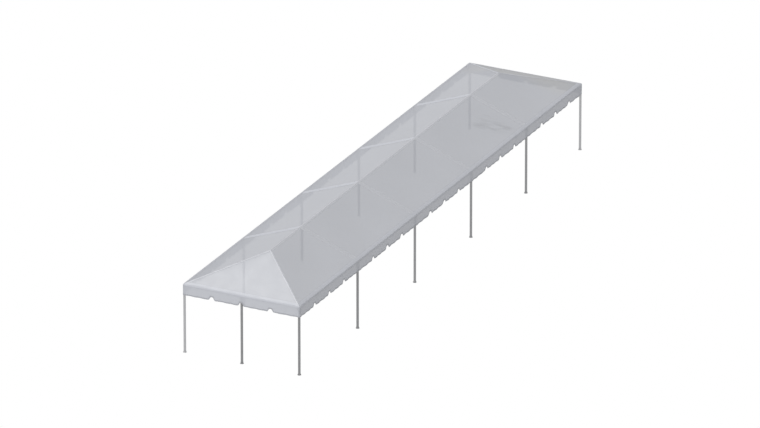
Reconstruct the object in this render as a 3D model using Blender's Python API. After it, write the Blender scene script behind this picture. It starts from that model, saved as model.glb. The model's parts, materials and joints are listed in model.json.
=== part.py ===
"""A hip-ended marquee tent: a translucent canopy with a notched valance on a frame of round tubes.

The front end has a middle leg and the back end has none.

The tent's own frame: +X across its width, +Y along its length, +Z up, the origin on the ground
under its middle. Metres throughout. Run with blender --background --python part.py.
"""

import math

import bmesh
import bpy
from mathutils import Matrix, Vector

# Driving sizes, over the canopy
WIDTH = 4.572
LENGTH = 22.86
EAVE_HEIGHT = 2.59
RISE = 0.85
VALANCE_DROP = 0.40
BAYS = 5

# Tubes, sockets and cloth
LEG_RADIUS = 0.0445
ROOF_TUBE_RADIUS = 0.0254
SOCKET_WALL = 0.004
CLOTH = 0.003
GAP = 0.0003
CLOTH_GAP = 0.0004

# Socket lengths, measured from the crossing of the tubes
CORNER_SOCKET = 0.20
SIDE_SOCKET = 0.15
LEG_SOCKET = 0.16
RAFTER_SOCKET = 0.20
RIDGE_SOCKET = 0.15

# Foot of each leg
FOOT_RADIUS = 0.066
FOOT_THICKNESS = 0.008
SHOE_RADIUS = 0.0495
SHOE_HEIGHT = 0.055

# Valance notches: a quarter of a bay apart, with none in front of a leg of the long sides
TABS_PER_BAY = 4
NOTCH_HEIGHT = 0.115
NOTCH_TOP_HALF = 0.030
NOTCH_FOOT_HALF = 0.130
NOTCH_STEPS = 5

SEGMENTS = 24

# What follows from them
HALF_WIDTH = WIDTH / 2
HALF_LENGTH = LENGTH / 2
SLOPE = math.atan2(RISE, HALF_WIDTH)
EAVE_DEPTH = CLOTH + CLOTH_GAP + SOCKET_WALL + LEG_RADIUS
ROOF_DEPTH = CLOTH + CLOTH_GAP + SOCKET_WALL + ROOF_TUBE_RADIUS
EAVE_X = HALF_WIDTH - EAVE_DEPTH
EAVE_Y = HALF_LENGTH - EAVE_DEPTH
EAVE_Z = EAVE_HEIGHT - EAVE_DEPTH * (1 - math.sin(SLOPE)) / math.cos(SLOPE)
AXIS_DROP = ROOF_DEPTH / math.cos(SLOPE)
RIDGE_Y = HALF_LENGTH - HALF_WIDTH
BAY = 2 * EAVE_Y / BAYS
BAY_LINES = [-EAVE_Y + BAY * i for i in range(BAYS + 1)]

COLOURS = {
    "leg_metal": ((0.30, 0.30, 0.32), 0.38, 0.9),
    "frame_metal": ((0.62, 0.63, 0.65), 0.35, 0.9),
    "fitting_metal": ((0.50, 0.51, 0.53), 0.45, 0.9),
    "canopy_cloth": ((0.72, 0.73, 0.76), 0.45, 0.0),
}


def material(name):
    """The finish called name, made on first use."""
    found = bpy.data.materials.get(name)
    if found:
        return found
    colour, roughness, metallic = COLOURS[name]
    made = bpy.data.materials.new(name)
    made.use_nodes = True
    shader = made.node_tree.nodes["Principled BSDF"]
    shader.inputs["Base Color"].default_value = (*colour, 1.0)
    shader.inputs["Roughness"].default_value = roughness
    shader.inputs["Metallic"].default_value = metallic
    return made


def add_object(name, shape, finish, smooth=True):
    """Turns a bmesh into a named object and frees the bmesh."""
    bmesh.ops.recalc_face_normals(shape, faces=shape.faces)
    mesh = bpy.data.meshes.new(name)
    shape.to_mesh(mesh)
    shape.free()
    if smooth:
        mesh.shade_smooth()
        mesh.set_sharp_from_angle(angle=math.radians(35))
    mesh.materials.append(material(finish))
    made = bpy.data.objects.new(name, mesh)
    bpy.context.scene.collection.objects.link(made)
    return made


def turned(profile, start, direction):
    """A solid of revolution: profile is (distance along, radius) pairs, run from start along direction."""
    shape = bmesh.new()
    turn = Vector(direction).normalized().to_track_quat("Z", "Y").to_matrix().to_4x4()
    place = Matrix.Translation(start) @ turn
    rings = []
    for along, radius in profile:
        angles = [2 * math.pi * (k + 0.5) / SEGMENTS for k in range(SEGMENTS)]
        points = [Vector((radius * math.cos(a), radius * math.sin(a), along)) for a in angles]
        rings.append([shape.verts.new(place @ p) for p in points])
    for low, high in zip(rings, rings[1:]):
        for k in range(SEGMENTS):
            n = (k + 1) % SEGMENTS
            shape.faces.new((low[k], low[n], high[n], high[k]))
    shape.faces.new(list(reversed(rings[0])))
    shape.faces.new(rings[-1])
    return shape


def rod(start, end, radius):
    """A plain round bar between two points."""
    start, end = Vector(start), Vector(end)
    return turned([(0, radius), ((end - start).length, radius)], start, end - start)


def ball(centre, radius):
    """A round knuckle where sockets meet."""
    shape = bmesh.new()
    place = Matrix.Translation(centre)
    bmesh.ops.create_uvsphere(shape, u_segments=SEGMENTS, v_segments=SEGMENTS // 2, radius=radius, matrix=place)
    return shape


def weld(body, branches):
    """Joins the branch shapes to body with union modifiers. Each branch stays as a hidden helper."""
    for i, branch in enumerate(branches):
        helper = add_object(f"{body.name}_branch_{i + 1}", branch, "fitting_metal", smooth=False)
        helper.hide_render = True
        helper.display_type = "WIRE"
        join = body.modifiers.new(f"weld_{i + 1}", "BOOLEAN")
        join.operation = "UNION"
        join.solver = "EXACT"
        join.object = helper


def prism(outline, depth_of):
    """A closed slab: outline is a loop of top points, and depth_of gives the matching bottom point."""
    shape = bmesh.new()
    top = [shape.verts.new(p) for p in outline]
    bottom = [shape.verts.new(depth_of(Vector(p))) for p in outline]
    shape.faces.new(top)
    shape.faces.new(list(reversed(bottom)))
    for k in range(len(outline)):
        n = (k + 1) % len(outline)
        shape.faces.new((top[n], top[k], bottom[k], bottom[n]))
    return shape


def roof_z(x, y):
    """Height of the canopy's outer face over a point of the plan."""
    inset = min(HALF_WIDTH - abs(x), HALF_LENGTH - abs(y))
    return EAVE_HEIGHT + inset * math.tan(SLOPE)


def tube_axis_point(x, y):
    """The point on a rafter's, hip's or ridge's axis over a point of the plan."""
    return Vector((x, y, roof_z(x, y) - AXIS_DROP))


def build_leg(name, x, y):
    """A leg with its round foot plate and shoe, up to the socket over it."""
    top = EAVE_Z - LEG_SOCKET - GAP
    profile = [
        (0, FOOT_RADIUS),
        (FOOT_THICKNESS, FOOT_RADIUS),
        (FOOT_THICKNESS, SHOE_RADIUS),
        (SHOE_HEIGHT, SHOE_RADIUS),
        (SHOE_HEIGHT, LEG_RADIUS),
        (top, LEG_RADIUS),
    ]
    add_object(name, turned(profile, (x, y, 0), (0, 0, 1)), "leg_metal")


def sleeved_profile(length, radius, sleeves):
    """Profile of a rail with a wider sleeve on each (centre, half length) in sleeves."""
    profile = [(0, radius)]
    for centre, half in sleeves:
        profile += [
            (centre - half, radius),
            (centre - half, radius + SOCKET_WALL),
            (centre + half, radius + SOCKET_WALL),
            (centre + half, radius),
        ]
    return profile + [(length, radius)]


def leg_socket(x, y):
    """The socket that a leg stands in, under the eave tube."""
    return rod((x, y, EAVE_Z), (x, y, EAVE_Z - LEG_SOCKET), LEG_RADIUS + SOCKET_WALL)


def rafter_socket(side, y):
    """The socket at the eave that a rafter leans in."""
    foot = tube_axis_point(side * EAVE_X, y)
    up = (tube_axis_point(0, y) - foot).normalized()
    return rod(foot, foot + up * RAFTER_SOCKET, ROOF_TUBE_RADIUS + SOCKET_WALL)


def build_side_rail(name, side):
    """The eave tubes of one long side with the fittings over the legs between its corners."""
    end = EAVE_Y - CORNER_SOCKET - GAP
    sleeves = [(y + end, SIDE_SOCKET) for y in BAY_LINES[1:-1]]
    profile = sleeved_profile(2 * end, LEG_RADIUS, sleeves)
    rail = add_object(name, turned(profile, (side * EAVE_X, -end, EAVE_Z), (0, 1, 0)), "frame_metal")
    branches = []
    for y in BAY_LINES[1:-1]:
        branches += [leg_socket(side * EAVE_X, y), rafter_socket(side, y)]
    weld(rail, branches)


def build_front_rail():
    """The two eave tubes of the front end with the fitting over its middle leg."""
    half = EAVE_X - CORNER_SOCKET - GAP
    profile = sleeved_profile(2 * half, LEG_RADIUS, [(half, SIDE_SOCKET)])
    rail = add_object("eave_rail_front", turned(profile, (-half, -EAVE_Y, EAVE_Z), (1, 0, 0)), "frame_metal")
    weld(rail, [leg_socket(0, -EAVE_Y)])


def build_back_rail():
    """The one eave tube of the back end, which has no middle leg."""
    half = EAVE_X - CORNER_SOCKET - GAP
    add_object("eave_rail_back", rod((-half, EAVE_Y, EAVE_Z), (half, EAVE_Y, EAVE_Z), LEG_RADIUS), "frame_metal")


def hip_direction(side, end):
    """Unit vector up a hip, from its corner to its crown."""
    low = tube_axis_point(side * HALF_WIDTH, end * HALF_LENGTH)
    return (tube_axis_point(0, end * RIDGE_Y) - low).normalized()


def build_corner(name, side, end):
    """A corner fitting: sockets for two eave tubes, the leg and the hip rafter on a round knuckle."""
    crossing = Vector((side * EAVE_X, end * EAVE_Y, EAVE_Z))
    wide = LEG_RADIUS + SOCKET_WALL
    fitting = add_object(name, ball(crossing, wide), "fitting_metal")
    hip_foot = tube_axis_point(crossing.x, crossing.y)
    hip_end = hip_foot + hip_direction(side, end) * RAFTER_SOCKET
    weld(
        fitting,
        [
            rod(crossing, crossing - Vector((side * CORNER_SOCKET, 0, 0)), wide),
            rod(crossing, crossing - Vector((0, end * CORNER_SOCKET, 0)), wide),
            leg_socket(crossing.x, crossing.y),
            rod(hip_foot, hip_end, ROOF_TUBE_RADIUS + SOCKET_WALL),
        ],
    )


def rafter_direction(side):
    """Unit vector down a rafter, from the ridge to its eave."""
    return Vector((side * math.cos(SLOPE), 0, -math.sin(SLOPE)))


def build_ridge():
    """The ridge tubes with the four fittings that the rafters meet in."""
    end = RIDGE_Y - RIDGE_SOCKET - GAP
    wide = ROOF_TUBE_RADIUS + SOCKET_WALL
    sleeves = [(y + end, SIDE_SOCKET) for y in BAY_LINES[1:-1]]
    profile = sleeved_profile(2 * end, ROOF_TUBE_RADIUS, sleeves)
    start = tube_axis_point(0, 0) - Vector((0, end, 0))
    ridge = add_object("ridge_rail", turned(profile, start, (0, 1, 0)), "frame_metal")
    branches = []
    for y in BAY_LINES[1:-1]:
        for side in (-1, 1):
            centre = tube_axis_point(0, y)
            branches.append(rod(centre, centre + rafter_direction(side) * RIDGE_SOCKET, wide))
    weld(ridge, branches)


def build_crown(name, end):
    """The fitting at one end of the ridge, where two hip rafters meet it."""
    centre = tube_axis_point(0, end * RIDGE_Y)
    wide = ROOF_TUBE_RADIUS + SOCKET_WALL
    crown = add_object(name, ball(centre, wide), "fitting_metal")
    hips = [rod(centre, centre - hip_direction(side, end) * RIDGE_SOCKET, wide) for side in (-1, 1)]
    weld(crown, [rod(centre, centre - Vector((0, end * RIDGE_SOCKET, 0)), wide), *hips])


def build_rafter(name, side, y):
    """A rafter between its eave socket and its ridge socket."""
    down = rafter_direction(side)
    low = tube_axis_point(side * EAVE_X, y) - down * (RAFTER_SOCKET + GAP)
    high = tube_axis_point(0, y) + down * (RIDGE_SOCKET + GAP)
    add_object(name, rod(low, high, ROOF_TUBE_RADIUS), "frame_metal")


def build_hip(name, side, end):
    """A hip rafter between its corner socket and its crown socket."""
    up = hip_direction(side, end)
    low = tube_axis_point(side * EAVE_X, end * EAVE_Y) + up * (RAFTER_SOCKET + GAP)
    high = tube_axis_point(0, end * RIDGE_Y) - up * (RIDGE_SOCKET + GAP)
    add_object(name, rod(low, high, ROOF_TUBE_RADIUS), "frame_metal")


def drop_by_cloth(point):
    """The inner face of the roof cloth, straight under a point of its outer face."""
    return point - Vector((0, 0, CLOTH / math.cos(SLOPE)))


def build_side_panel(name, side):
    """The long roof panel of one side, a trapezoid from the eave to the ridge."""
    seam = GAP / 2
    hip_seam = seam * math.sqrt(2)
    corners = [
        (side * HALF_WIDTH, -HALF_LENGTH + hip_seam),
        (side * HALF_WIDTH, HALF_LENGTH - hip_seam),
        (side * seam, RIDGE_Y + seam - hip_seam),
        (side * seam, -RIDGE_Y - seam + hip_seam),
    ]
    outline = [(x, y, EAVE_HEIGHT + (HALF_WIDTH - abs(x)) * math.tan(SLOPE)) for x, y in corners]
    add_object(name, prism(outline, drop_by_cloth), "canopy_cloth", smooth=False)


def build_hip_panel(name, end):
    """The triangular roof panel of one short end."""
    hip_seam = GAP / 2 * math.sqrt(2)
    corners = [
        (-HALF_WIDTH + hip_seam, end * HALF_LENGTH),
        (HALF_WIDTH - hip_seam, end * HALF_LENGTH),
        (0, end * (RIDGE_Y + hip_seam)),
    ]
    outline = [(x, y, EAVE_HEIGHT + (HALF_LENGTH - abs(y)) * math.tan(SLOPE)) for x, y in corners]
    add_object(name, prism(outline, drop_by_cloth), "canopy_cloth", smooth=False)


def notch_points(centre):
    """The lower edge of the valance across one notch, as (along, height over the edge) pairs."""
    steps = [k / NOTCH_STEPS for k in range(NOTCH_STEPS + 1)]
    rise = []
    for step in steps:
        half = NOTCH_FOOT_HALF + (NOTCH_TOP_HALF - NOTCH_FOOT_HALF) * step
        height = NOTCH_HEIGHT * (1 - math.cos(math.pi * step)) / 2
        rise.append((half, height))
    return [(centre - h, z) for h, z in rise] + [(centre + h, z) for h, z in reversed(rise)]


def valance_outline(first, last, notches):
    """The valance laid flat, as (along, height) points from first to last."""
    top = EAVE_HEIGHT - CLOTH / math.cos(SLOPE) - GAP
    foot = EAVE_HEIGHT - VALANCE_DROP
    edge = [(first, foot)]
    for centre in notches:
        edge += [(along, foot + height) for along, height in notch_points(centre)]
    return edge + [(last, foot), (last, top), (first, top)]


def build_side_valance(name, side):
    """The valance of one long side, between the end valances, with no notch where a leg stands."""
    tab = LENGTH / (BAYS * TABS_PER_BAY)
    notches = [-HALF_LENGTH + tab * k for k in range(BAYS * TABS_PER_BAY) if k % TABS_PER_BAY]
    reach = HALF_LENGTH - CLOTH - GAP
    outline = [(side * HALF_WIDTH, y, z) for y, z in valance_outline(-reach, reach, notches)]
    inwards = Vector((-side * CLOTH, 0, 0))
    add_object(name, prism(outline, lambda p: p + inwards), "canopy_cloth", smooth=False)


def build_end_valance(name, end):
    """The valance of one short end, over its whole width."""
    tab = WIDTH / TABS_PER_BAY
    notches = [-HALF_WIDTH + tab * k for k in range(1, TABS_PER_BAY)]
    outline = [(x, end * HALF_LENGTH, z) for x, z in valance_outline(-HALF_WIDTH, HALF_WIDTH, notches)]
    inwards = Vector((0, -end * CLOTH, 0))
    add_object(name, prism(outline, lambda p: p + inwards), "canopy_cloth", smooth=False)


def build_frame():
    """Every leg, rail, fitting, rafter and hip."""
    sides = (("left", -1), ("right", 1))
    ends = (("front", -1), ("back", 1))
    for label, side in sides:
        for i, y in enumerate(BAY_LINES):
            build_leg(f"leg_{label}_{i + 1}", side * EAVE_X, y)
        build_side_rail(f"eave_rail_{label}", side)
        for i, y in enumerate(BAY_LINES[1:-1]):
            build_rafter(f"rafter_{label}_{i + 1}", side, y)
    for end_label, end in ends:
        build_crown(f"crown_fitting_{end_label}", end)
        for label, side in sides:
            build_corner(f"corner_fitting_{end_label}_{label}", side, end)
            build_hip(f"hip_rafter_{end_label}_{label}", side, end)
    build_leg("leg_front_middle", 0, -EAVE_Y)
    build_front_rail()
    build_back_rail()
    build_ridge()


def build_canopy():
    """The four roof panels and the four valances."""
    for label, side in (("left", -1), ("right", 1)):
        build_side_panel(f"roof_panel_{label}", side)
        build_side_valance(f"valance_{label}", side)
    for label, end in (("front", -1), ("back", 1)):
        build_hip_panel(f"roof_hip_{label}", end)
        build_end_valance(f"valance_{label}", end)


for old in list(bpy.data.objects):
    bpy.data.objects.remove(old)
build_frame()
build_canopy()
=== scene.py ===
"""Looks of the marquee tent: one welded canopy sheet with its trim and straps, and the metal frame.

Metres, in the part's own frame: +X across the width, +Y along the length, +Z up.
"""

import json
from math import acos, atan2, ceil, copysign, cos, hypot, pi, radians, sin, sqrt, tan

import bmesh
import bpy
from mathutils import Matrix, Vector, noise


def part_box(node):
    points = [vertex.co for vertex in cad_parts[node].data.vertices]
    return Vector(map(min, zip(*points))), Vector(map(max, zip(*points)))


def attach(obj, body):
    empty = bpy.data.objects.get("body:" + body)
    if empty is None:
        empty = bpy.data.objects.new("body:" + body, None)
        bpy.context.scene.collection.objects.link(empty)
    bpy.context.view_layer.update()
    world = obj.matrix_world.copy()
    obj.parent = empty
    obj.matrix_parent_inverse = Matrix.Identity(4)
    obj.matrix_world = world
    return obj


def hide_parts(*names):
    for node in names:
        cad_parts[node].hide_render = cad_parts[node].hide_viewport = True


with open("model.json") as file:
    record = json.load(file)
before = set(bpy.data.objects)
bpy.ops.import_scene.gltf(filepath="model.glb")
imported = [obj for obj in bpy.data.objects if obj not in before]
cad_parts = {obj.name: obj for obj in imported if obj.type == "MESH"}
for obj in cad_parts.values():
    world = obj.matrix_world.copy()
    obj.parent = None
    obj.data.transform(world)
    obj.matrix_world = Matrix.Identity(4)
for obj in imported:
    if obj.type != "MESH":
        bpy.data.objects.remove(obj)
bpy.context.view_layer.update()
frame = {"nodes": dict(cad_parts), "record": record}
UP = Vector((0, 0, 1))

# Sizes read from the frame
HALF_WIDTH = -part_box("roof_panel_left")[0].x
HALF_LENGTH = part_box("roof_hip_back")[1].y
VALANCE_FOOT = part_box("valance_front")[0].z
LEG_LOW, LEG_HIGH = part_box("leg_left_1")
EAVE_X = -(LEG_LOW.x + LEG_HIGH.x) / 2
EAVE_Y = -(LEG_LOW.y + LEG_HIGH.y) / 2
LEG_TOP = LEG_HIGH.z

# Sizes of the roof, its tubes and its sockets
EAVE_HEIGHT = 2.59
RISE = 0.85
BAYS = 5
TABS_PER_BAY = 4
LEG_RADIUS = 0.0445
ROOF_TUBE_RADIUS = 0.0254
SOCKET_WALL = 0.004
CLOTH_OVER_SOCKET = 0.0034
CORNER_SOCKET = 0.20
SIDE_SOCKET = 0.15
RAFTER_SOCKET = 0.20
RIDGE_SOCKET = 0.15

# Foot plate, shoe and tube of each leg
FOOT_RADIUS = 0.066
FOOT_THICKNESS = 0.008
SHOE_RADIUS = 0.0495
SHOE_HEIGHT = 0.055
SHOE_PLAY = 0.0006
SHOE_LIP = 0.003
LEG_WALL = 0.003
LEG_BORE_SHOWN = 0.03
EDGE_BREAK = 0.001
STAKE_HOLES = 3
STAKE_HOLE_RADIUS = 0.0045
STAKE_HOLE_REACH = 0.0588
STAKE_HOLE_SIDES = 16
LEG_SIDES = 48

# Bolts and weld beads: a bolt's head narrows from its shoulder to its crown
BOLT_RADIUS = 0.0075
BOLT_HEIGHT = 0.0065
BOLT_SHOULDER = 0.8 * BOLT_HEIGHT
BOLT_CROWN = 0.86 * BOLT_RADIUS
BOLT_CORNERS = 6
WASHER_RADIUS = 0.0105
WASHER_THICKNESS = 0.0016
WASHER_SUNK = 0.0018
WASHER_SIDES = 24
SHOE_BOLT_HEIGHT = 0.032
LEG_BOLT_DROPS = (0.085, 0.135)
BOLT_FROM_END = 0.035
WELD_SIZE = 0.0022
WELD_BULGE = 0.7 * WELD_SIZE
WELD_STEPS = 48
WELD_SIDES = 6
WELD_UNEVENNESS = 0.12
WELD_LUMP_PACE = 2.4

# Notches in the valance's lower edge
NOTCH_HEIGHT = 0.115
NOTCH_TOP_HALF = 0.030
NOTCH_FOOT_HALF = 0.130

# How finely the sheet is divided
ARC_STEPS = 6
NOTCH_LINES = 10
TAB_LINES = 16
VALANCE_ROWS = 9
ROUNDING = 1e-6

# Sag, creases and corner folds of the roof
BAY_SAG = 0.045
RAFTER_CREASE = 0.0012
CREASE_HALF_WIDTH = 0.10
CORNER_PULL = 0.004
CORNER_PULL_REACH = 1.1
CORNER_FOLDS = 8

# Irregular waves: how fast they follow each other across and along, and their layer of the noise
RIPPLE = 0.0015
RIPPLE_FULL_INSET = 0.3
COARSE_RIPPLE = (1.3, 0.9, 4.0)
FINE_RIPPLE = (3.1, 2.3, 9.0)
FINE_RIPPLE_SHARE = 0.5

# Swing and upright folds of the hanging valance
VALANCE_FLARE = 0.005
SWING_PACES = (2.1, 1.7)
SWING_WAVES = (1.9, 1.9)
SWING_UNEVENNESS = 0.6
FOLD_PACE = 17.0
FOLD_SHARE = 2.0
FOLD_WANDER = 3.0
FOLD_WAVES = (0.8, 0.8, 2.0)

# The one pulled place in the right slope, in the fourth bay from the front
PULL_START = Vector((0.88, 5.13))
PULL_END = Vector((1.96, 6.02))
PULL_HALF_WIDTH = 0.32
PULL_DEPTH = 0.007
PULL_FOLDS = 3
PULL_WANDER = 1.4
PULL_WANDER_PACE = 5.0
PULL_TURN = radians(39)
WRINKLE_HEIGHT = 0.022
WRINKLE_SIZE = (4, 1, 1)

# Where shade and light are painted on the cloth as it was cut: each an oval's middle, its turn and its
# half sizes
PULL_MARK = ((1.47, 6.12, 0), PULL_TURN, (0.95, 0.60, 1))
BACK_HIP_MARK = ((0.30, 11.35, 0), 0.0, (2.9, 1.25, 1))
CREASE_MARKS = (
    ((1.20, 5.66, 0), radians(50), (0.46, 0.22, 1)),
    ((1.66, 6.35, 0), radians(24), (0.34, 0.12, 1)),
    ((1.96, 6.46, 0), radians(60), (0.24, 0.19, 1)),
    ((1.62, 5.88, 0), radians(14), (0.24, 0.09, 1)),
    ((1.06, 6.54, 0), radians(30), (0.17, 0.04, 1)),
)

# Tone of the marks beside the cloth's own: darker for the painted shade of the pulled place and its
# creases, a little paler for the painted light on the back hip; and how much bluer than grey each
# material is
PULL_SHADE = 0.91
CREASE_SHADE = 0.78
BACK_HIP_SHADE = 1.03
BACK_HIP_BLUE = 0.010
CLOTH_BLUE = 0.052
PLAIN_TAPE_BLUE = 0.040
WEBBING_BLUE = 0.02
METAL_BLUE = 0.012

# Threads of the cloth and the webbing, the light that comes through, and the metals' long grain
WEAVE_PACE = 250.0
RIB_PACE = 90.0
THROUGH_LEVEL = 0.80
GRAIN_ALONG = (1, 20, 1)
GRAIN_UP = (1, 1, 20)

# Tapes, bands and hem: half widths, and heights over the sheet
TAPE_STEP = 0.10
TAPE_OFFSETS = (-1, -0.5, 0, 0.5, 1)
HIP_TAPE_HALF = 0.034
RIDGE_TAPE_HALF = 0.060
STRIP_HALF_LEFT = 0.125
STRIP_SHIFT_LEFT = -0.025
STRIP_HALF_RIGHT = 0.100
TAPE_LOW = 0.0004
TAPE_HIGH = 0.0018
BAND_INSET = 0.14
BAND_DROP = 0.004
BAND_LOW = 0.0006
BAND_HIGH = 0.0022
HEM_HEIGHT = 0.045
HEM_HALF_THICKNESS = 0.0012

# Straps round the eave tubes, and their buckles
STRAP_WIDTH = 0.030
STRAP_THICKNESS = 0.0016
STRAP_RADIUS = LEG_RADIUS + 0.0012
STRAP_STEPS = 40
TAIL_LENGTH = 0.09
TAIL_STEPS = 8
TAIL_START = 0.6
TAIL_BEND_PACE = 2.5
BUCKLE_RADIUS = 0.0498
BUCKLE_TURN = radians(-25)
BUCKLE_HALF_WIDTH = 0.021
BUCKLE_HALF_HEIGHT = 0.016
BUCKLE_BAR = 0.0026
BUCKLE_BAR_SIDES = 8
BUCKLE_CORNER = 1.6 * BUCKLE_BAR
BUCKLE_CORNER_STEPS = 4
LEVER_LENGTH = 0.020
LEVER_THICKNESS = 0.0016
LEVER_LEAN = radians(18)
LEVER_STATIONS = (0.0, 0.35, 1.0)
LEVER_ROOT = 0.92
LEVER_TAPER = 0.25

# What follows from them
SLOPE = atan2(RISE, HALF_WIDTH)
CORNER_RADIUS = HALF_WIDTH - EAVE_X
EAVE_Z = EAVE_HEIGHT - CORNER_RADIUS * (1 - sin(SLOPE)) / cos(SLOPE)
ARC_TURN = pi / 2 - SLOPE
ARC_INSET = CORNER_RADIUS * (1 - cos(ARC_TURN))
RIDGE_Y = HALF_LENGTH - HALF_WIDTH
AXIS_DROP = (CLOTH_OVER_SOCKET + SOCKET_WALL + ROOF_TUBE_RADIUS) / cos(SLOPE)
SOCKET_RADIUS = LEG_RADIUS + SOCKET_WALL
ROOF_SOCKET_RADIUS = ROOF_TUBE_RADIUS + SOCKET_WALL
BAY = 2 * EAVE_Y / BAYS
BAY_LINES = [-EAVE_Y + BAY * i for i in range(BAYS + 1)]
TAB = 2 * HALF_LENGTH / (BAYS * TABS_PER_BAY)

# The photo's view, a long lens from the front right and above
VIEW_AZIMUTH = radians(26.3)
VIEW_ELEVATION = radians(22.88)
VIEW_DISTANCE = 400.0
VIEW_LENS = 532.4
VIEW_SENSOR = 36
VIEW_PIVOT = Vector((0, 0, 1.8))
VIEW_SIDE = -0.2367
VIEW_RAISE = -0.4228

# Light of the studio
SKY_LIGHT = 0.456
FLOOR_LIGHT = 0.573
KEY_FROM = Vector((-0.41, 0.364, 0.836))
KEY_STRENGTH = 0.84
KEY_ANGLE = radians(12)
FILL_FROM = Vector((-0.25, -0.90, 0.35))
FILL_STRENGTH = 0.965
FILL_ANGLE = radians(25)
FLOOR_HALF = 400.0


# Camera, floor and light


def add_object(name, data):
    """A new object of the scene."""
    made = bpy.data.objects.new(name, data)
    bpy.context.scene.collection.objects.link(made)
    return made


def make_camera():
    """The photo's camera, with no shift."""
    level = cos(VIEW_ELEVATION)
    away = Vector((sin(VIEW_AZIMUTH) * level, -cos(VIEW_AZIMUTH) * level, sin(VIEW_ELEVATION)))
    right = Vector((cos(VIEW_AZIMUTH), sin(VIEW_AZIMUTH), 0))
    up = away.cross(right)
    data = bpy.data.cameras.new("camera")
    data.lens = VIEW_LENS
    data.sensor_width = VIEW_SENSOR
    data.clip_start = 1
    data.clip_end = 3 * VIEW_DISTANCE
    camera = add_object("camera", data)
    camera.location = VIEW_PIVOT + away * VIEW_DISTANCE + right * VIEW_SIDE + up * VIEW_RAISE
    camera.rotation_euler = away.to_track_quat("Z", "Y").to_euler()
    bpy.context.scene.camera = camera


def make_sun(name, origin, strength, angle):
    """A soft sun that shines from the direction of origin."""
    data = bpy.data.lights.new(name, "SUN")
    data.energy = strength
    data.angle = angle
    add_object(name, data).rotation_euler = origin.to_track_quat("Z", "Y").to_euler()


def seen_or_lighting(tree, lighting, kind, out):
    """Pure white where it is seen, and a softer level for the light that it sheds."""
    mix = tree.nodes.new("ShaderNodeMixShader")
    path = tree.nodes.new("ShaderNodeLightPath")
    tree.links.new(path.outputs["Is Camera Ray"], mix.inputs[0])
    for target, level in ((mix.inputs[1], lighting), (mix.inputs[2], 1.0)):
        shader = tree.nodes.new(kind)
        shader.inputs["Color"].default_value = (level, level, level, 1)
        shader.inputs["Strength"].default_value = 1
        tree.links.new(shader.outputs[0], target)
    tree.links.new(mix.outputs[0], out.inputs["Surface"])


def make_studio():
    """A white sweep all round: the floor, the air above it and two soft suns."""
    world = bpy.data.worlds.new("studio")
    world.use_nodes = True
    world.node_tree.nodes.clear()
    out = world.node_tree.nodes.new("ShaderNodeOutputWorld")
    seen_or_lighting(world.node_tree, SKY_LIGHT, "ShaderNodeBackground", out)
    bpy.context.scene.world = world

    mesh = bpy.data.meshes.new("floor")
    corners = [(-1, -1), (1, -1), (1, 1), (-1, 1)]
    mesh.from_pydata([(FLOOR_HALF * x, FLOOR_HALF * y, 0) for x, y in corners], [], [(0, 1, 2, 3)])
    pale = bpy.data.materials.new("pale_floor")
    pale.use_nodes = True
    pale.node_tree.nodes.clear()
    out = pale.node_tree.nodes.new("ShaderNodeOutputMaterial")
    seen_or_lighting(pale.node_tree, FLOOR_LIGHT, "ShaderNodeEmission", out)
    mesh.materials.append(pale)
    floor = add_object("floor", mesh)

    make_sun("key", KEY_FROM, KEY_STRENGTH, KEY_ANGLE)
    make_sun("fill", FILL_FROM, FILL_STRENGTH, FILL_ANGLE)
    bpy.context.scene.view_settings.view_transform = "Standard"


# Materials


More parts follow.
